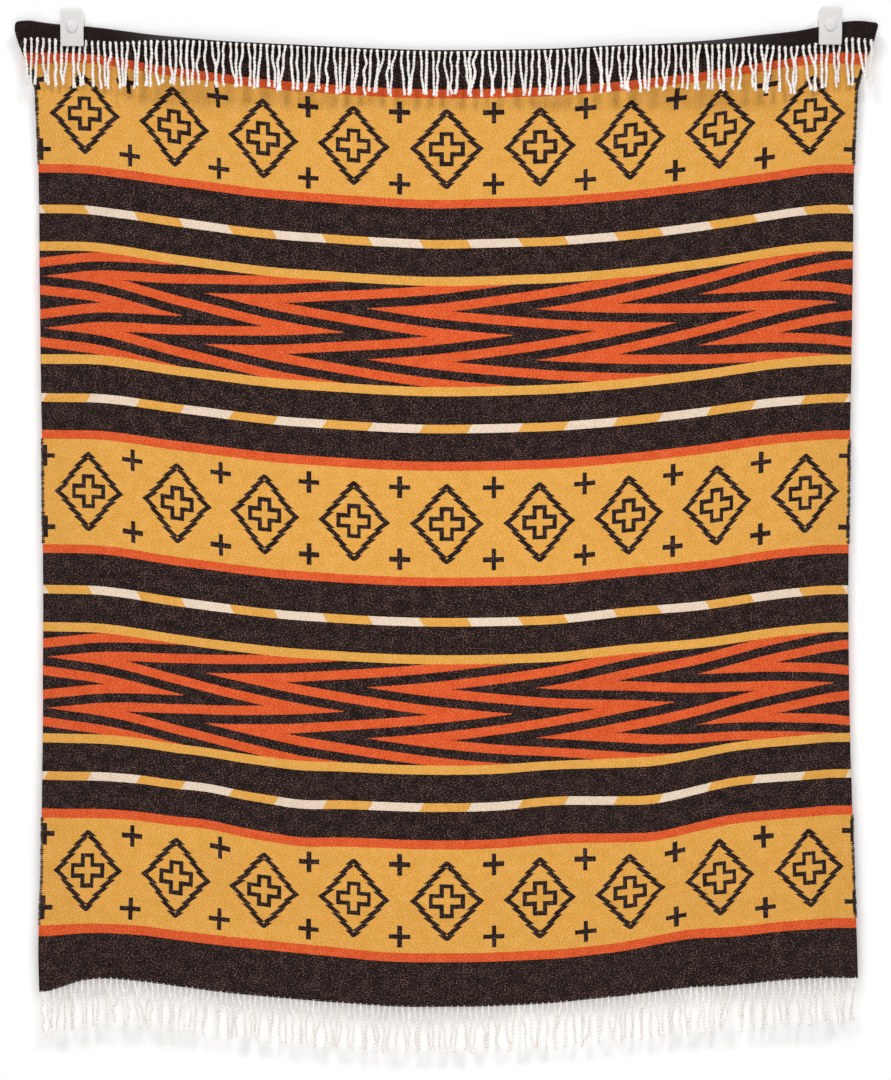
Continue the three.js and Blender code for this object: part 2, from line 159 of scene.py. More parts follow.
def curve_through(table, along, column, places):
    """A smooth curve through a table's rows that never swings past them."""
    at, value = np.array(table[along], float), np.array(table[column], float)
    steps = np.diff(value) / np.diff(at)
    before, after = np.r_[steps[0], steps], np.r_[steps, steps[-1]]
    same_way = before * after > 0
    slopes = np.where(same_way, 2 * before * after / np.where(same_way, before + after, 1), 0)
    row = np.clip(np.searchsorted(at, places) - 1, 0, len(at) - 2)
    span = at[row + 1] - at[row]
    t = np.clip((places - at[row]) / span, 0, 1)
    ease = t * t * (3 - 2 * t)
    leaving = t * (1 - t) ** 2 * span * slopes[row]
    arriving = t * t * (t - 1) * span * slopes[row + 1]
    return value[row] + (value[row + 1] - value[row]) * ease + leaving + arriving


def fold_relief(u, s):
    relief = np.zeros_like(u)
    for from_u, from_s, to_u, to_s, reach, rise in FOLDS:
        along_u, along_s = to_u - from_u, to_s - from_s
        share = ((u - from_u) * along_u + (s - from_s) * along_s) / (along_u**2 + along_s**2)
        t = np.clip(share, 0, 1)
        away = np.hypot(u - from_u - t * along_u, s - from_s - t * along_s)
        relief += rise * bell(away / reach)
    return relief


RIPPLES = 16
RIPPLE_HEIGHT = 0.00022
RIPPLE_LENGTHS = (0.06, 0.20)
RIPPLE_SEED = 11
ripple_draw = np.random.default_rng(RIPPLE_SEED)
ripple_lengths = ripple_draw.uniform(*RIPPLE_LENGTHS, RIPPLES)
ripple_turns = ripple_draw.uniform(0, math.pi, RIPPLES)
ripple_phases = ripple_draw.uniform(0, 2 * math.pi, RIPPLES)


def ripples(u, s):
    """The slight unevenness of soft cloth that hangs free."""
    total = np.zeros_like(u)
    for length, turn, phase in zip(ripple_lengths, ripple_turns, ripple_phases):
        total += np.sin((u * math.cos(turn) + s * math.sin(turn)) * 2 * math.pi / length + phase)
    return RIPPLE_HEIGHT * total


def drawn_in(u, left, right, below):
    """How far across a place lies, by the draw-in of both sides and the round corners at the crest."""
    drawn = np.where(u < 0, left, right)
    spread = np.sin(math.pi / 2 * np.minimum(np.abs(u) / HALF_WIDTH, 1) ** DRAW_IN_SPREAD)
    across, down = (np.where(u < 0, size["left"], size["right"]) for size in (CORNER_ACROSS, CORNER_DOWN))
    short = np.clip(1 - below / down, 0, 1)
    rounded = across * (1 - np.sqrt(1 - short**2))
    at_corner = smooth_step(np.abs(u), HALF_WIDTH - 3 * across, HALF_WIDTH)
    return u * (1 - drawn * spread) - np.sign(u) * rounded * at_corner


def body_points(u, s):
    """The middle of the cloth below its crest."""
    below = s - curve_through(HEADING, "u", "flap", u)
    out = smooth_step(below, FOLDS_START, 2 * FOLDS_FULL)
    free = smooth_step(below, FOLDS_START, FOLDS_FULL)
    stand_off = TOP_STAND_OFF + (BODY_STAND_OFF - TOP_STAND_OFF) * out
    forward = stand_off + (fold_relief(u, s) + ripples(u, s)) * free
    lift_share = LIFT_AT_TOP + (LIFT_AT_HEM - LIFT_AT_TOP) * s / CLOTH_LENGTH
    z = TOP_LEVEL - s + curve_through(LIFT, "u", "rise", u) * lift_share
    for pull_u, pull_s, reach_u, reach_s, rise in PULLS:
        z = z + rise * bell((u - pull_u) / reach_u) * bell((s - pull_s) / reach_s)
    left, right = (curve_through(DRAW_IN, "below", side, below) for side in ("left", "right"))
    return np.stack([drawn_in(u, left, right, below), -forward, z], axis=-1)


def cloth_points(u, s):
    """The middle of the cloth anywhere: the body, the crest that turns forward, and the flap past it."""
    u, s = np.broadcast_arrays(np.asarray(u, float), np.asarray(s, float))
    flap = curve_through(HEADING, "u", "flap", u)
    past = s - flap
    points = body_points(u, np.maximum(s, flap + QUARTER_TURN))
    last_angle = np.radians(90 - curve_through(HEADING, "u", "turn", u))
    angle = np.maximum(past / FOLD_RADIUS, last_angle)
    straight = angle * FOLD_RADIUS - past
    turned = points.copy()
    flap_share = np.clip(-past / flap, 0, 1)
    left, right = (FLAP_DRAW_IN[side] * flap_share for side in ("left", "right"))
    turned[..., 0] = drawn_in(u, left, right, np.abs(past))
    turned[..., 1] += FOLD_RADIUS * (np.sin(angle) - 1) - straight * np.cos(angle)
    turned[..., 2] += FOLD_RADIUS * np.cos(angle) + straight * np.sin(angle)
    return np.where((past < QUARTER_TURN)[..., None], turned, points)


def unit(vectors):
    return vectors / np.linalg.norm(vectors, axis=-1, keepdims=True)


def cloth_normals(u, s, step=0.0005):
    """The normal of the cloth's patterned face."""
    down = cloth_points(u, s + step) - cloth_points(u, s - step)
    right = cloth_points(u + step, s) - cloth_points(u - step, s)
    return unit(np.cross(down, right))


def new_piece(name, mesh, *materials):
    piece = bpy.data.objects.new(name, mesh)
    bpy.context.scene.collection.objects.link(piece)
    for material in materials:
        piece.data.materials.append(material)
    return piece


def add_attribute(mesh, name, kind, values):
    attribute = mesh.attributes.new(name, kind, "POINT")
    field = "vector" if kind == "FLOAT_VECTOR" else "value"
    attribute.data.foreach_set(field, np.asarray(values, np.float32).ravel())


COLUMNS = 184
HEADING_ROWS = 16
BODY_ROWS = 196
RIM = 0.0016
FACE_SHARE = 0.64  # of the flat layout's width, which the patterned face takes


def throw_mesh():
    """The patterned face and the reverse, closed by a rim, with each point's place on the cloth."""
    half = HALF_WIDTH
    column_u = np.r_[-half, RIM - half, np.linspace(-half, half, COLUMNS + 1)[1:-1], half - RIM, half]
    start = curve_through(HEADING, "u", "flap", column_u)[:, None] + QUARTER_TURN
    heading = np.linspace(0, 1, HEADING_ROWS + 1)
    body = np.r_[np.linspace(0, 1, BODY_ROWS + 1)[1:-1], 1 - RIM / CLOTH_LENGTH, 1]
    s = np.concatenate([start * heading, start + (CLOTH_LENGTH - start) * body], axis=1)
    u = np.broadcast_to(column_u[:, None], s.shape)
    middle = cloth_points(u, s)
    offset = cloth_normals(u, s) * CLOTH_THICKNESS / 2

    columns, rows = s.shape
    index = np.arange(columns * rows).reshape(columns, rows)
    face = np.stack([index[:-1, :-1], index[:-1, 1:], index[1:, 1:], index[1:, :-1]], axis=-1)
    face = face.reshape(-1, 4)
    reverse = face[:, ::-1] + index.size
    loop = np.r_[index[0, :], index[1:, -1], index[-1, -2::-1], index[-2::-1, 0]]
    rim = np.stack([loop[:-1], loop[:-1] + index.size, loop[1:] + index.size, loop[1:]], axis=-1)
    corners = np.concatenate([face, reverse, rim])

    mesh = bpy.data.meshes.new("throw")
    points = np.concatenate([(middle + offset).reshape(-1, 3), (middle - offset).reshape(-1, 3)])
    mesh.from_pydata(points.tolist(), [], corners.tolist())
    mesh.shade_smooth()
    side = np.repeat([0.0, 1.0], index.size)
    place = np.stack([np.tile(u.ravel(), 2), np.tile(s.ravel(), 2), side], axis=-1)
    add_attribute(mesh, "weave_place", "FLOAT_VECTOR", place)
    # A flat layout of both sides, next to each other, for whatever is baked from the cloth
    width_share = np.where(side, 1 - FACE_SHARE, FACE_SHARE)
    flat_u = (place[:, 0] / CLOTH_WIDTH + 0.5) * width_share + side * FACE_SHARE
    layout = np.stack([flat_u, 1 - place[:, 1] / CLOTH_LENGTH], axis=-1)
    corner_layout = layout[corners.ravel()].astype(np.float32)
    mesh.uv_layers.new(name="OFBake").uv.foreach_set("vector", corner_layout.ravel())
    return mesh


class Wire:
    """One output in a tree of nodes. Sums, products and comparisons of wires add Math nodes."""

    def __init__(self, tree, socket=None):
        self.tree, self.socket = tree, socket

    def node(self, kind, settings=None, inputs=None, output=0):
        """Adds a node of that type: its settings first, then the values or links of its inputs."""
        made = self.tree.nodes.new(kind)
        for name, value in (settings or {}).items():
            setattr(made, name, value)
        for name, value in (inputs or {}).items():
            if isinstance(value, Wire):
                self.tree.links.new(value.socket, made.inputs[name])
            else:
                made.inputs[name].default_value = value
        return Wire(self.tree, made.outputs[output] if len(made.outputs) else None)

    def other(self, output):
        return Wire(self.tree, self.socket.node.outputs[output])

    def math(self, operation, *values):
        return self.node("ShaderNodeMath", {"operation": operation}, dict(enumerate([self, *values])))

    def mix(self, first, second):
        """The first colour where this wire is 0 and the second where it is 1."""
        return self.node("ShaderNodeMix", {"data_type": "RGBA"}, {0: self, 6: first, 7: second}, output=2)

    def between(self, low, high):
        """0 below low, 1 above high, and a smooth step between them."""
        values = {"Value": self, "From Min": low, "From Max": high}
        return self.node("ShaderNodeMapRange", {"interpolation_type": "SMOOTHSTEP"}, values)

    def __add__(self, other):
        return self.math("ADD", other)

    def __radd__(self, other):
        return self.math("ADD", other)

    def __sub__(self, other):
        return self.math("SUBTRACT", other)

    def __rsub__(self, other):
        return (-self).math("ADD", other)

    def __mul__(self, other):
        return self.math("MULTIPLY", other)

    def __rmul__(self, other):
        return self.math("MULTIPLY", other)

    def __truediv__(self, other):
        return self.math("DIVIDE", other)

    def __neg__(self):
        return self.math("MULTIPLY", -1)

    def __abs__(self):
        return self.math("ABSOLUTE")

    def __lt__(self, other):
        return self.math("LESS_THAN", other)

    def __gt__(self, other):
        return self.math("GREATER_THAN", other)

    def __or__(self, other):
        return self.math("MAXIMUM", other)


def seen(red, green, blue):
    """The colour that looks like these three numbers of 0 to 255."""
    share = np.array([red, green, blue]) / 255
    light = np.where(share <= 0.04045, share / 12.92, ((share + 0.055) / 1.055) ** 2.4)
    return (*light.tolist(), 1.0)


def new_finish(name, **constants):
    """A material with its shader's unvarying inputs set, and the wire that its nodes start from."""
    material = bpy.data.materials.new(name)
    material.use_nodes = True
    shader = material.node_tree.nodes["Principled BSDF"]
    for label, value in constants.items():
        shader.inputs[label.replace("_", " ")].default_value = value
    return material, Wire(material.node_tree), shader


# The bands from the top end to the hem: what each is woven as, and its height
BETWEEN_FIELDS = [
    ("red", 0.014), ("black", 0.050), ("bars", 0.014), ("black", 0.045), ("ochre", 0.014),
    ("zigzag", 0.1605),
    ("ochre", 0.014), ("black", 0.045), ("bars", 0.014), ("black", 0.045), ("red", 0.014),
]
BANDS = [
    ("black", 0.0705), ("red", 0.014),
    ("field", 0.160), *BETWEEN_FIELDS,
    ("field", 0.168), *BETWEEN_FIELDS,
    ("field", 0.164), ("red", 0.014), ("black", 0.0705),
]
band_bottoms = np.cumsum([height for _, height in BANDS])
band_middles = [
    (kind, bottom - height / 2, height / 2) for (kind, height), bottom in zip(BANDS, band_bottoms)
]
MOTIF_PITCH = 0.1515
MOTIF_SHIFT = 0.002
DIAMOND_HALF_HEIGHT = 0.0628
DIAMOND_HALF_WIDTH = 0.0545
DIAMOND_STEP = 0.01325
DIAMOND_STEP_IN = 0.0114
DIAMOND_JUT = 0.0056
DIAMOND_HALF_LINE = 0.0059
CROSS_HALF_WIDTH = 0.0287
CROSS_HALF_HEIGHT = 0.0270
CROSS_HALF_ARM = 0.0117
CROSS_LINE = 0.0067
PLUS_ROW = 0.0568
PLUS_HALF_WIDTH = 0.0176
PLUS_HALF_HEIGHT = 0.0172
PLUS_HALF_ARM = 0.0039
ZIGZAG_PERIOD = 0.275
ZIGZAG_SWING = 0.377
ZIGZAG_START = 0.128
BAR_PERIOD = 0.160
BAR_CREAM_SHARE = 0.52
BAR_SLANT = 0.62
THREAD_ACROSS = 0.0012
THREAD_DOWN = 0.0009
STRAY = 0.0010  # of the threads from their places, which blurs the motifs' edges
STRAY_GRAIN = (0.004, 0.003)
FIBRE_GRAIN = (0.0027, 0.0017)
CLOUD_GRAIN = (0.020, 0.016)
CLOUD_SHARE = 0.2
DYED_LIGHTER = 0.09  # more light fibres show on coloured wool than on black
LIGHT_FIBRES = (0.51, 0.73)
REVERSE_PLAINER = 0.75
ROW_RELIEF = 0.1
NAP = 0.0009

BLACK_DEEP, BLACK_LIGHT = seen(17, 7, 6), seen(124, 92, 84)
OCHRE_DEEP, OCHRE_LIGHT = seen(208, 148, 52), seen(228, 172, 98)
RED_DEEP, RED_LIGHT = seen(199, 68, 22), seen(228, 108, 60)
CREAM_DEEP, CREAM_LIGHT = seen(213, 191, 167), seen(234, 215, 198)


def from_nearest(place, middles):
    """How far a place lies below the nearest of some lines, given in order."""
    away = place - middles[0]
    for before, after in zip(middles, middles[1:]):
        away = away - (place > (before + after) / 2) * (after - before)
    return away


def box(x, half_width, y, half_height):
    return (x < half_width) * (y < half_height)


def cross(x, y, half_width, half_height, half_arm):
    return box(x, half_width, y, half_arm) | box(x, half_arm, y, half_height)


def fractional(wire):
    return wire.math("FRACT")


def threads(place, pitch):
    """A place stepped from thread to thread."""
    return ((place / pitch).math("FLOOR") + 0.5) * pitch


def field_motifs(u, y):
    """Stepped diamonds with an outlined cross in each, and small plus signs between them."""
    from_diamond = (u - MOTIF_SHIFT).math("PINGPONG", MOTIF_PITCH / 2)
    from_plus = MOTIF_PITCH / 2 - from_diamond
    height = abs(y)

    steps = height / DIAMOND_STEP
    slanted = DIAMOND_HALF_WIDTH - steps * DIAMOND_STEP_IN - fractional(steps) * DIAMOND_JUT
    outline = box(abs(from_diamond - slanted), DIAMOND_HALF_LINE, height, DIAMOND_HALF_HEIGHT)
    outer = cross(from_diamond, height, CROSS_HALF_WIDTH, CROSS_HALF_HEIGHT, CROSS_HALF_ARM)
    inner = cross(
        from_diamond,
        height,
        CROSS_HALF_WIDTH - CROSS_LINE,
        CROSS_HALF_HEIGHT - CROSS_LINE,
        CROSS_HALF_ARM - CROSS_LINE,
    )
    from_row = abs(height - PLUS_ROW)
    plus = cross(from_plus, from_row, PLUS_HALF_WIDTH, PLUS_HALF_HEIGHT, PLUS_HALF_ARM)
    return outline | (outer - inner) | plus


def wool_finish():
    finish, start, shader = new_finish(
        "banded_wool",
        Roughness=0.95,
        Specular_IOR_Level=0.15,
        Sheen_Weight=0.12,
        Sheen_Roughness=0.5,
    )
    place = start.node("ShaderNodeAttribute", {"attribute_name": "weave_place"}, output="Vector")
    apart = start.node("ShaderNodeSeparateXYZ", inputs={"Vector": place})
    u, s, side = apart, apart.other("Y"), apart.other("Z") > 0.5

    def noise(across, down, detail=2.0, output="Fac"):
        """Noise whose grains are that wide and high on the cloth, and other on each side of it."""
        scaled = start.node("ShaderNodeCombineXYZ", inputs={"X": u / across, "Y": s / down, "Z": side * 9})
        values = {"Vector": scaled, "Scale": 1, "Detail": detail}
        return start.node("ShaderNodeTexNoise", inputs=values, output=output)

    stray = start.node(
        "ShaderNodeSeparateXYZ", inputs={"Vector": noise(*STRAY_GRAIN, 1.0, output="Color")}
    )
    woven_u = threads(u + (stray - 0.5) * STRAY, THREAD_ACROSS)
    woven_s = threads(s + (stray.other("Y") - 0.5) * STRAY, THREAD_DOWN)

    middles = {kind: [m for k, m, _ in band_middles if k == kind] for kind, _, _ in band_middles}
    in_band = {}
    for kind, middle, half in band_middles:
        if kind != "black":
            here = abs(woven_s - middle) < half
            in_band[kind] = in_band[kind] + here if kind in in_band else here

    motif = field_motifs(woven_u, from_nearest(woven_s, middles["field"]))
    zigzag_height = next(half for kind, _, half in band_middles if kind == "zigzag")
    from_zigzag = abs(from_nearest(woven_s, middles["zigzag"]))
    swing = abs(from_zigzag * (2 / zigzag_height) - 1)
    stripe = fractional((woven_u + ZIGZAG_START - swing * ZIGZAG_SWING) / ZIGZAG_PERIOD) < 0.5
    bars_away = middles["zigzag"][0] - middles["bars"][0]
    slanted = woven_u + (from_zigzag - bars_away) * BAR_SLANT
    cream_bar = slanted.math("PINGPONG", BAR_PERIOD / 2) > BAR_PERIOD / 2 * (1 - BAR_CREAM_SHARE)

    # On the reverse the two colours of a patterned band change places
    motif, stripe, cream_bar = (abs(mask - side) for mask in (motif, stripe, cream_bar))
    cream = in_band["bars"] * cream_bar
    red = in_band["red"] + in_band["zigzag"] * stripe
    ochre = in_band["ochre"] + in_band["field"] * (1 - motif) + in_band["bars"] * (1 - cream_bar)

    def dyed(black_wool, ochre_wool, red_wool, cream_wool):
        return cream.mix(red.mix(ochre.mix(black_wool, ochre_wool), red_wool), cream_wool)

    fibres = noise(*FIBRE_GRAIN)
    clouds = noise(*CLOUD_GRAIN)
    strewn = fibres + (clouds - 0.5) * CLOUD_SHARE + (ochre + red + cream) * DYED_LIGHTER
    light_fibres = strewn.between(*LIGHT_FIBRES) * (1 - side * REVERSE_PLAINER)
    deep = dyed(BLACK_DEEP, OCHRE_DEEP, RED_DEEP, CREAM_DEEP)
    light = dyed(BLACK_LIGHT, OCHRE_LIGHT, RED_LIGHT, CREAM_LIGHT)
    start.tree.links.new(light_fibres.mix(deep, light).socket, shader.inputs["Base Color"])

    rows = (s * (2 * math.pi / THREAD_DOWN)).math("SINE") * ROW_RELIEF
    relief = {"Strength": 0.5, "Distance": NAP, "Height": fibres + rows}
    bump = start.node("ShaderNodeBump", inputs=relief)
    start.tree.links.new(bump.socket, shader.inputs["Normal"])
    return finish


throw = new_piece("throw", throw_mesh(), wool_finish())
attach(throw, "root")
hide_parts("blanket")


# The selvedges
# Along the ochre fields the black weft of the reverse turns round both side edges and shows on the face as
# a row of small loops; in the other bands the edge threads have the colour of their band.
LOOP_PITCH = 0.0031
LOOP_REACH = 0.0030
LOOP_SLANT = 0.0008
LOOP_BULGE = 0.0026
LOOP_RADIUS = 0.0012
LOOP_SIZES = (0.75, 1.2)
LOOP_SEED = 3
WEFT_DEEP, WEFT_LIGHT = seen(14, 9, 9), seen(58, 45, 41)
WEFT_GRAINS = 900  # in a metre


def weft_finish():
    finish, start, shader = new_finish(
        "black_weft", Roughness=0.9, Specular_IOR_Level=0.2, Sheen_Weight=0.15, Sheen_Roughness=0.5
    )
    where = start.node("ShaderNodeTexCoord", output="Object")
    fibres = start.node("ShaderNodeTexNoise", inputs={"Vector": where, "Scale": WEFT_GRAINS, "Detail": 2})
    start.tree.links.new(fibres.mix(WEFT_DEEP, WEFT_LIGHT).socket, shader.inputs["Base Color"])
    bump = start.node("ShaderNodeBump", inputs={"Strength": 0.5, "Distance": 0.0004, "Height": fibres})
    start.tree.links.new(bump.socket, shader.inputs["Normal"])
    return finish


def new_tree(name, inputs):
    """A Geometry Nodes tree with named inputs, the wires of those inputs, and the node that ends it."""
    tree = bpy.data.node_groups.new(name, "GeometryNodeTree")
    tree.interface.new_socket("Geometry", in_out="INPUT", socket_type="NodeSocketGeometry")
    for label, kind in inputs.items():
        tree.interface.new_socket(label, in_out="INPUT", socket_type="NodeSocket" + kind)
    tree.interface.new_socket("Geometry", in_out="OUTPUT", socket_type="NodeSocketGeometry")
    start = Wire(tree).node("NodeGroupInput")
    end = tree.nodes.new("NodeGroupOutput")
    return tree, start, end


def named(start, name, kind="FLOAT"):
    return start.node("GeometryNodeInputNamedAttribute", {"data_type": kind}, {"Name": name})


def finished(start, end, made, material):
    """The end of each tree: the instances made real, smooth, and with their material."""
    real = start.node("GeometryNodeRealizeInstances", inputs={"Geometry": made})
    smooth = start.node("GeometryNodeSetShadeSmooth", inputs={"Geometry": real})
    done = start.node("GeometryNodeSetMaterial", inputs={"Geometry": smooth, "Material": material})
    start.tree.links.new(done.socket, end.inputs["Geometry"])


def grown(name, mesh, tree, values):
    """A plain mesh piece, made by running a tree on a mesh of points."""
    seedling = new_piece(name + "_points", mesh)
    modifier = seedling.modifiers.new("grow", "NODES")
    modifier.node_group = tree
    for item in tree.interface.items_tree:
        if item.in_out == "INPUT" and item.name in values:
            modifier[item.identifier] = values[item.name]
    evaluated = seedling.evaluated_get(bpy.context.evaluated_depsgraph_get())
    result = bpy.data.meshes.new_from_object(evaluated)
    result.name = name
    seedling.modifiers.clear()
    bpy.data.objects.remove(seedling)
    return new_piece(name, result)


def selvedge_tree():
    tree, start, end = new_tree(
        "Selvedge loops",
        {
            "Radius": "Float",
            "Reach": "Float",
            "Slant": "Float",
            "Bulge": "Float",
            "Half thickness": "Float",
            "Seed": "Int",
            "Weft": "Material",
        },
    )
    radius, reach, slant = start.other("Radius"), start.other("Reach"), start.other("Slant")
    bulge, depth = start.other("Bulge"), start.other("Half thickness")

    def corner(x, y, z):
        return start.node("ShaderNodeCombineXYZ", inputs={"X": x, "Y": y, "Z": z})

    turn = start.node(
        "GeometryNodeCurvePrimitiveBezierSegment",
        inputs={
            "Resolution": 8,
            "Start": corner(-reach, -slant, depth - radius * 0.6),
            "Start Handle": corner(bulge, -slant, depth + radius * 1.6),
            "End Handle": corner(bulge, slant, -depth - radius * 1.6),
            "End": corner(-reach, slant, radius * 0.6 - depth),
        },
    )
    section = start.node("GeometryNodeCurvePrimitiveCircle", inputs={"Resolution": 6, "Radius": radius})
    sweep = {"Curve": turn, "Profile Curve": section, "Fill Caps": True}
    loop = start.node("GeometryNodeCurveToMesh", inputs=sweep)
    turned = start.node(
        "FunctionNodeAxesToRotation",
        {"primary_axis": "X", "secondary_axis": "Y"},
        {
            "Primary Axis": named(start, "outward", "FLOAT_VECTOR"),
            "Secondary Axis": named(start, "along", "FLOAT_VECTOR"),
        },
    )
    uneven = start.node(
        "FunctionNodeRandomValue",
        {"data_type": "FLOAT"},
        {2: LOOP_SIZES[0], 3: LOOP_SIZES[1], "Seed": start.other("Seed")},
        output=1,
    )
    points = start.node("GeometryNodeMeshToPoints", inputs={"Mesh": start})
    loops = start.node(
        "GeometryNodeInstanceOnPoints",
        inputs={"Points": points, "Instance": loop, "Rotation": turned, "Scale": uneven},
    )
    finished(start, end, loops, start.other("Weft"))
    return tree


def loop_points():
    """A point for each loop along the fields' edges, with the directions out of and along the edge."""
    places, outward, along = [], [], []
    for kind, middle, half in band_middles:
        if kind == "field":
            s = np.arange(middle - half + LOOP_PITCH / 2, middle + half, LOOP_PITCH)
            for edge in (-HALF_WIDTH, HALF_WIDTH):
                here = cloth_points(edge, s)
                places.append(here)
                outward.append(unit(here - cloth_points(edge * 0.99, s)))
                along.append(unit(cloth_points(edge, s + LOOP_PITCH) - here))
    mesh = bpy.data.meshes.new("loop_points")
    mesh.from_pydata(np.concatenate(places).tolist(), [], [])
    add_attribute(mesh, "outward", "FLOAT_VECTOR", np.concatenate(outward))
    add_attribute(mesh, "along", "FLOAT_VECTOR", np.concatenate(along))
    return mesh


selvedges = grown(
    "selvedges",
    loop_points(),
    selvedge_tree(),
    {
        "Radius": LOOP_RADIUS,
        "Reach": LOOP_REACH,
        "Slant": LOOP_SLANT,
        "Bulge": LOOP_BULGE,
        "Half thickness": CLOTH_THICKNESS / 2,
        "Seed": LOOP_SEED,
        "Weft": weft_finish(),
    },
)
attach(selvedges, "root")


# The two fringes
# At each end the cream warp is left long and twisted by machine into two-ply strands, cut off bluntly.
# The top fringe falls in front of the cloth from the turned-over flap, the bottom one hangs from the hem.
STRANDS = 139
STRAND_PITCH = CLOTH_WIDTH / STRANDS
STRAND_LENGTH = 0.0705
STRAND_UNEVENNESS = 0.0035
STRAND_BEND = 0.0025
ROOT_DROP = 0.003  # of a strand's root below the middle of an edge that points forward
STRAND_ROOT = 0.002
# How much thicker or thinner a strand is where it leaves the cloth, just past that, and at its tip, with
# the places of these along it; and the spread of the thickness from strand to strand and along each
ROOT_KNOB = {"fringe_top": 0.14, "fringe_bottom": -0.35}
KNOB_AT, KNOB_REACH = 0.001, 0.003
NECK = -0.1
NECK_AT, NECK_REACH = 0.009, 0.005
TIP_SPLAYS = [0.08, 0.35]
TIP_SHARES = [0.7, 0.3]
TIP_FROM, TIP_FULL = 0.88, 0.96
STRAND_SPREAD = 0.07
STEP_SPREAD = 0.09
THICKNESS_LIMITS = (0.75, 1.25)
STRAND_STEPS = 46
YARN_RADIUS = 0.0025
YARN_FLATNESS = 0.70
YARN_TURN = 0.0115
YARN_SIDES = 8
CLUMP_SHARES = [0.40, 0.42, 0.18]  # of single strands, pairs and threes that have drawn together
CLUMP_SPACING = 0.0043
SWAY = 0.0028
WIGGLE = 0.0019
WAVES = (0.7, 1.6, 2.9)  # of the wiggle, in a strand's length
HELD_SHARE = 0.05  # of a strand, which the cloth keeps in place
CLIP_TUCK = 0.0011  # of the strands behind a front jaw, towards the cloth
CLIP_TUCK_REACH = (0.026, 0.020)
FORWARD_LEAN = 0.002
YARN_DEEP, YARN_LIGHT = seen(224, 215, 207), seen(252, 249, 246)
YARN_GRAINS = (300, 14, 50)  # in a metre of strand, round it, and apart for each strand
# The shares of painted shade in the grooves between the plies, of fibre tone, and of each strand's own tone
GROOVE_SHADE_SHARE, FIBRE_SHARE, SHADE_SHARE = 0.5, 0.6, 0.15
YARN_TONES = (0.1, 0.85)


def yarn_finish():
    finish, start, shader = new_finish(
        "cream_yarn", Roughness=0.9, Specular_IOR_Level=0.2, Sheen_Weight=0.2, Sheen_Roughness=0.4
    )

    def attribute(name):
        return start.node("ShaderNodeAttribute", {"attribute_name": name}, output="Fac")

    along, around, shade = attribute("yarn_along"), attribute("yarn_round"), attribute("yarn_shade")
    # Painted shade: each strand is darker along the two grooves between its plies, where shade falls in the
    # twist
    ply_groove_shade = (around * (4 * math.pi)).math("COSINE") * 0.5 + 0.5
    scaled = [wire * grains for wire, grains in zip((along, around, shade), YARN_GRAINS)]
    spun = start.node("ShaderNodeCombineXYZ", inputs=dict(zip("XYZ", scaled)))
    fibres = start.node("ShaderNodeTexNoise", inputs={"Vector": spun, "Scale": 1, "Detail": 3})
    bright = ply_groove_shade * GROOVE_SHADE_SHARE + fibres * FIBRE_SHARE + shade * SHADE_SHARE
    colour = bright.between(*YARN_TONES).mix(YARN_DEEP, YARN_LIGHT)
    start.tree.links.new(colour.socket, shader.inputs["Base Color"])
    bump = start.node("ShaderNodeBump", inputs={"Strength": 0.6, "Distance": 0.0005, "Height": fibres})
    start.tree.links.new(bump.socket, shader.inputs["Normal"])
    return finish


def yarn_tree():
    tree, start, end = new_tree(
        "Twisted yarn",
        {"Flatness": "Float", "Sides": "Int", "Yarn": "Material"},
    )
    lines = start.node("GeometryNodeMeshToCurve", inputs={"Mesh": start})
    radius, twist = named(start, "yarn_radius"), named(start, "yarn_twist")
    thick = start.node("GeometryNodeSetCurveRadius", inputs={"Curve": lines, "Radius": radius})
    twisted = start.node("GeometryNodeSetCurveTilt", inputs={"Curve": thick, "Tilt": twist})
    round_section = {"Resolution": start.other("Sides"), "Radius": 1}
    ring = start.node("GeometryNodeCurvePrimitiveCircle", inputs=round_section)
    squeeze = start.node("ShaderNodeCombineXYZ", inputs={"X": 1, "Y": start.other("Flatness"), "Z": 1})
    oval = start.node("GeometryNodeTransform", inputs={"Geometry": ring, "Scale": squeeze})
    section = start.node(
        "GeometryNodeStoreNamedAttribute",
        {"data_type": "FLOAT", "domain": "POINT"},
        {"Geometry": oval, "Name": "yarn_round", "Value": start.node("GeometryNodeSplineParameter")},
    )
    strands = start.node(
        "GeometryNodeCurveToMesh",
        inputs={
            "Curve": twisted,
            "Profile Curve": section,
            "Scale": radius,
            "Fill Caps": True,
        },
    )
    finished(start, end, strands, start.other("Yarn"))
    return tree


def drawn_together(draw, u):
    """Where each strand's tip has moved to, sideways, with neighbours drawn into small clumps."""
    shift = np.zeros(STRANDS)
    first = 0
    while first < STRANDS:
        size = min(draw.choice([1, 2, 3], p=CLUMP_SHARES), STRANDS - first)
        members = np.arange(first, first + size)
        sway = draw.normal(0, SWAY)
        target = (members - members.mean()) * CLUMP_SPACING + u[members].mean() + sway
        shift[members] = target - u[members]
        first += size
    return shift


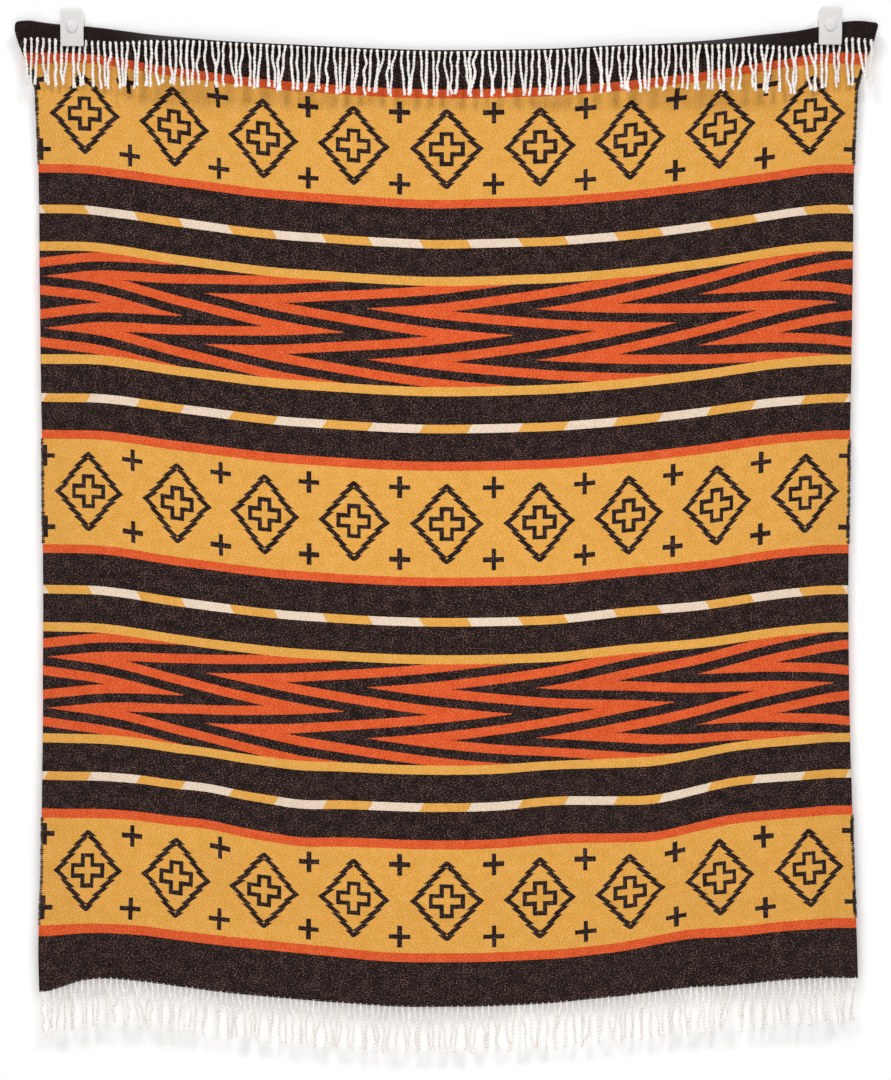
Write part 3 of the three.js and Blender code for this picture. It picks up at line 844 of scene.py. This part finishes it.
def fringe_lines(node, edge_s, outward, seed):
    """The middle line of each strand, as a mesh of edges, with its thickness and twist on the points."""
    draw = np.random.default_rng(seed)
    u = (np.arange(STRANDS) + 0.5) * STRAND_PITCH - HALF_WIDTH
    edge = cloth_points(u, edge_s)
    leaving = cloth_points(u, edge_s + outward * RIM) - edge
    leaving[:, 0] = 0
    leaving = unit(leaving)
    length = STRAND_LENGTH + draw.uniform(-STRAND_UNEVENNESS, STRAND_UNEVENNESS, STRANDS)
    shift = drawn_together(draw, edge[:, 0])
    forward = draw.uniform(0, FORWARD_LEAN, STRANDS)
    clips = [np.mean([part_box(f"clip_{side}_front")[k].x for k in (0, 1)]) for side in ("left", "right")]
    tucked = [smooth_step(np.abs(edge[:, 0] - x), *CLIP_TUCK_REACH) for x in clips]
    near_clip = np.max(tucked, axis=0)

    share = np.linspace(0, 1, STRAND_STEPS + 1)
    along = share * (length[:, None] + STRAND_ROOT) - STRAND_ROOT
    past = np.maximum(along, 0)
    bend = STRAND_BEND * (1 - np.exp(-past / STRAND_BEND)) + np.minimum(along, 0)
    points = edge[:, None, :] + leaving[:, None, :] * bend[..., None]
    points[..., 2] -= along - bend + ROOT_DROP * (1 - np.abs(leaving[:, 2, None]))
    free = smooth_step(share, HELD_SHARE, 1)
    points[..., 0] += shift[:, None] * free
    points[..., 1] -= forward[:, None] * share**2
    if outward < 0:
        points[..., 1] += (CLIP_TUCK * near_clip)[:, None] * smooth_step(share, 0, 0.1)
    for waves in WAVES:
        phase = draw.uniform(0, 2 * math.pi, (STRANDS, 1))
        size = draw.normal(0, WIGGLE / (1 + waves), (STRANDS, 1))
        swing = np.sin(2 * math.pi * waves * share + phase) - np.sin(phase)
        points[..., 0] += size * swing * smooth_step(share, 0, 0.3)

    uneven = 1 + STRAND_SPREAD * draw.normal(size=(STRANDS, 1))
    uneven = uneven + STEP_SPREAD * draw.normal(size=points.shape[:2])
    knob = ROOT_KNOB[node] * bell((along - KNOB_AT) / KNOB_REACH)
    neck = NECK * bell((along - NECK_AT) / NECK_REACH)
    tip = draw.choice(TIP_SPLAYS, (STRANDS, 1), p=TIP_SHARES) * smooth_step(share, TIP_FROM, TIP_FULL)
    radius = YARN_RADIUS * np.clip(uneven, *THICKNESS_LIMITS) * (1 + knob + neck + tip)
    twist = 2 * math.pi * along / YARN_TURN + draw.uniform(0, 2 * math.pi, (STRANDS, 1))
    shade = np.broadcast_to(draw.uniform(0, 1, (STRANDS, 1)), along.shape)

    first = np.arange(STRANDS)[:, None] * (STRAND_STEPS + 1) + np.arange(STRAND_STEPS)
    edges = np.stack([first, first + 1], axis=-1).reshape(-1, 2)
    mesh = bpy.data.meshes.new(node + "_lines")
    mesh.from_pydata(points.reshape(-1, 3).tolist(), edges.tolist(), [])
    add_attribute(mesh, "yarn_radius", "FLOAT", radius)
    add_attribute(mesh, "yarn_twist", "FLOAT", twist)
    add_attribute(mesh, "yarn_along", "FLOAT", along)
    add_attribute(mesh, "yarn_shade", "FLOAT", shade)
    return mesh


fringe_tree = yarn_tree()
cream_yarn = yarn_finish()
for node, edge_s, outward, seed in (("fringe_top", 0, -1, 21), ("fringe_bottom", CLOTH_LENGTH, 1, 34)):
    yarn = grown(
        node + "_yarn",
        fringe_lines(node, edge_s, outward, seed),
        fringe_tree,
        {"Flatness": YARN_FLATNESS, "Sides": YARN_SIDES, "Yarn": cream_yarn},
    )
    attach(yarn, "root")
    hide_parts(node)


# The two clips
# Each is moulded in white satin plastic: a back jaw that is fixed flat to the wall, a hinge block above the
# cloth, and a front jaw with a round raised thumb button that presses the cloth against the back jaw.
CHAMFER = 0.005
EDGE_ROUNDING = 0.0011
ROUNDING_STEPS = 3
JAW_CUTS = 10
JAW_THIN_END = 0.0040
BUTTON_SIDES = 56
BUTTON_STEPS = 9
BUTTON_RIM = 0.0008
# The front jaw's face falls back past one share of the way down, and a little above the other
FALL_FROM = 0.62
TOP_FALL_TO = 0.2
TOP_FALL = 0.3
PLASTIC_DEEP, PLASTIC_LIGHT = seen(212, 210, 208), seen(224, 222, 220)
PLASTIC_ROUGHNESS, ROUGHNESS_SPREAD = 0.36, 0.18
TONE_GRAINS = 60  # in a metre
MOULD_GRAINS = 1800
MOULD_GRAIN_DEPTH = 0.0001
SHARP_ANGLE = 40


def plastic_finish():
    finish, start, shader = new_finish(
        "satin_plastic", Specular_IOR_Level=0.45, Subsurface_Weight=0.05, Subsurface_Scale=0.004
    )
    where = start.node("ShaderNodeTexCoord", output="Object")
    tone = start.node("ShaderNodeTexNoise", inputs={"Vector": where, "Scale": TONE_GRAINS, "Detail": 3})
    grain = start.node("ShaderNodeTexNoise", inputs={"Vector": where, "Scale": MOULD_GRAINS, "Detail": 2})
    start.tree.links.new(tone.mix(PLASTIC_DEEP, PLASTIC_LIGHT).socket, shader.inputs["Base Color"])
    roughness = PLASTIC_ROUGHNESS + tone * ROUGHNESS_SPREAD
    start.tree.links.new(roughness.socket, shader.inputs["Roughness"])
    relief = {"Strength": 0.25, "Distance": MOULD_GRAIN_DEPTH, "Height": grain}
    bump = start.node("ShaderNodeBump", inputs=relief)
    start.tree.links.new(bump.socket, shader.inputs["Normal"])
    return finish


def jaw_mesh(name, node, thin_end=0.0):
    """A plate with chamfered top corners and rounded edges, whose front can fall back at its ends."""
    low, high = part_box(node)
    outline = [
        (low.x, low.z),
        (high.x, low.z),
        (high.x, high.z - CHAMFER),
        (high.x - CHAMFER, high.z),
        (low.x + CHAMFER, high.z),
        (low.x, high.z - CHAMFER),
    ]
    form = bmesh.new()
    front = form.faces.new([form.verts.new((x, low.y, z)) for x, z in outline])
    back = bmesh.ops.extrude_face_region(form, geom=[front])
    for vert in (part for part in back["geom"] if isinstance(part, bmesh.types.BMVert)):
        vert.co.y = high.y
    bmesh.ops.recalc_face_normals(form, faces=form.faces)
    bmesh.ops.bevel(
        form,
        geom=form.edges[:],
        offset=EDGE_ROUNDING,
        segments=ROUNDING_STEPS,
        profile=0.5,
        affect="EDGES",
    )
    if thin_end:
        for cut in range(1, JAW_CUTS):
            level = low.z + (high.z - low.z) * cut / JAW_CUTS
            whole = form.verts[:] + form.edges[:] + form.faces[:]
            bmesh.ops.bisect_plane(form, geom=whole, plane_co=(0, 0, level), plane_no=(0, 0, 1))
        for vert in form.verts:
            down = (high.z - vert.co.z) / (high.z - low.z)
            frontness = (high.y - vert.co.y) / (high.y - low.y)
            low_fall = max(0.0, (down - FALL_FROM) / (1 - FALL_FROM)) ** 1.5
            top_fall = max(0.0, (TOP_FALL_TO - down) / TOP_FALL_TO) ** 2 * TOP_FALL
            vert.co.y += thin_end * (low_fall + top_fall) * frontness
    mesh = bpy.data.meshes.new(name)
    form.to_mesh(mesh)
    form.free()
    mesh.shade_smooth()
    mesh.set_sharp_from_angle(angle=math.radians(SHARP_ANGLE))
    return mesh


def button_mesh(name, node):
    """A shallow dome with a short upright rim."""
    low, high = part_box(node)
    middle = (low + high) / 2
    radius, rise = (high.x - low.x) / 2, high.y - low.y
    reach = np.linspace(1, 0, BUTTON_STEPS)[:-1]
    rings = [(radius, 0), *zip(radius * reach, BUTTON_RIM + (rise - BUTTON_RIM) * (1 - reach**2))]
    round_turn = np.arange(BUTTON_SIDES) * 2 * math.pi / BUTTON_SIDES
    points = [
        (middle.x + r * math.cos(a), high.y - out, middle.z + r * math.sin(a))
        for r, out in rings
        for a in round_turn
    ]
    points += [(middle.x, low.y, middle.z), (middle.x, high.y, middle.z)]
    faces = []
    for ring in range(len(rings) - 1):
        for i in range(BUTTON_SIDES):
            j = (i + 1) % BUTTON_SIDES
            here, above = ring * BUTTON_SIDES, (ring + 1) * BUTTON_SIDES
            faces.append((here + i, here + j, above + j, above + i))
    last = (len(rings) - 1) * BUTTON_SIDES
    for i in range(BUTTON_SIDES):
        j = (i + 1) % BUTTON_SIDES
        faces.append((last + i, last + j, len(points) - 2))
        faces.append((j, i, len(points) - 1))
    mesh = bpy.data.meshes.new(name)
    mesh.from_pydata(points, [], faces)
    mesh.shade_smooth()
    return mesh


satin_plastic = plastic_finish()
for side in ("left", "right"):
    made = {
        "back": jaw_mesh(f"{side}_back_jaw", f"clip_{side}_back"),
        "hinge": jaw_mesh(f"{side}_hinge", f"clip_{side}_hinge"),
        "front": jaw_mesh(f"{side}_front_jaw", f"clip_{side}_front", JAW_THIN_END),
        "button": button_mesh(f"{side}_button", f"clip_{side}_button"),
    }
    for part, mesh in made.items():
        piece = new_piece(mesh.name, mesh, satin_plastic)
        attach(piece, "root")
        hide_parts(f"clip_{side}_{part}")


# The studio
# A plain white wall behind the clips and a pale floor, lit by two large soft lamps from the upper left and
# right in front and a small one close before the cloth; two more stand behind it, for the reverse.
WALL_GAP = 0.001
WALL_SIZE = (6.0, 4.6)
FLOOR_DROP = 0.80
FLOOR_SIZE = 9.0
EYE = (0.0, -3.0, -0.8145)
LENS = 62.9
SKY_STRENGTH = 0.16


def pale_finish(name, colour, one_sided=False):
    finish, start, shader = new_finish(name, Roughness=0.9, Specular_IOR_Level=0.1)
    shader.inputs["Base Color"].default_value = colour
    if one_sided:
        facing_away = start.node("ShaderNodeNewGeometry", output="Backfacing")
        clear = start.node("ShaderNodeBsdfTransparent")
        either = start.node("ShaderNodeMixShader", inputs={0: facing_away, 2: clear})
        start.tree.links.new(shader.outputs["BSDF"], either.socket.node.inputs[1])
        start.tree.links.new(either.socket, start.tree.nodes["Material Output"].inputs["Surface"])
    return finish


def plane(name, corners, finish):
    mesh = bpy.data.meshes.new(name)
    mesh.from_pydata(corners, [], [tuple(range(len(corners)))])
    made = new_piece(name, mesh, finish)
    return made


floor_level = cad_box[0].z - FLOOR_DROP
half_wall, wall_top = WALL_SIZE[0] / 2, floor_level + WALL_SIZE[1]
wall = plane(
    "wall",
    [
        (-half_wall, WALL_GAP, floor_level),
        (half_wall, WALL_GAP, floor_level),
        (half_wall, WALL_GAP, wall_top),
        (-half_wall, WALL_GAP, wall_top),
    ],
    pale_finish("white_wall", seen(253, 253, 253), one_sided=True),
)
wall.visible_shadow = False
half_floor = FLOOR_SIZE / 2
plane(
    "floor",
    [
        (-half_floor, -half_floor, floor_level),
        (half_floor, -half_floor, floor_level),
        (half_floor, half_floor, floor_level),
        (-half_floor, half_floor, floor_level),
    ],
    pale_finish("pale_floor", seen(232, 231, 229)),
)

# The lamps: place, what they point at, size and power
LAMPS = [
    ("left_lamp", (-3.75, -5.0, 5.7), (0, 0, -0.8), 3.2, 360),
    ("right_lamp", (3.75, -5.0, 5.7), (0, 0, -0.8), 3.2, 312),
    ("fill_lamp", (0.0, -1.7, -0.70), (0, 0, -0.70), 1.0, 11.4),
    ("left_back_lamp", (-2.2, 2.6, 0.4), (0, 0, -0.8), 1.6, 60),
    ("right_back_lamp", (2.2, 2.6, 0.4), (0, 0, -0.8), 1.6, 60),
]
for name, place, target, size, power in LAMPS:
    lamp = bpy.data.lights.new(name, "AREA")
    lamp.shape, lamp.size, lamp.energy = "DISK", size, power
    stand = bpy.data.objects.new(name, lamp)
    stand.location = place
    stand.rotation_euler = (Vector(target) - Vector(place)).to_track_quat("-Z", "Y").to_euler()
    stand.visible_camera = False
    bpy.context.scene.collection.objects.link(stand)

world = bpy.data.worlds.new("studio")
world.use_nodes = True
world.node_tree.nodes["Background"].inputs["Color"].default_value = (1, 1, 1, 1)
world.node_tree.nodes["Background"].inputs["Strength"].default_value = SKY_STRENGTH
bpy.context.scene.world = world
bpy.context.scene.view_settings.view_transform = "Standard"

camera = bpy.data.cameras.new("camera")
camera.lens = LENS
eye = bpy.data.objects.new("camera", camera)
eye.location = EYE
eye.rotation_euler = (math.pi / 2, 0, 0)
bpy.context.scene.collection.objects.link(eye)
bpy.context.scene.camera = eye
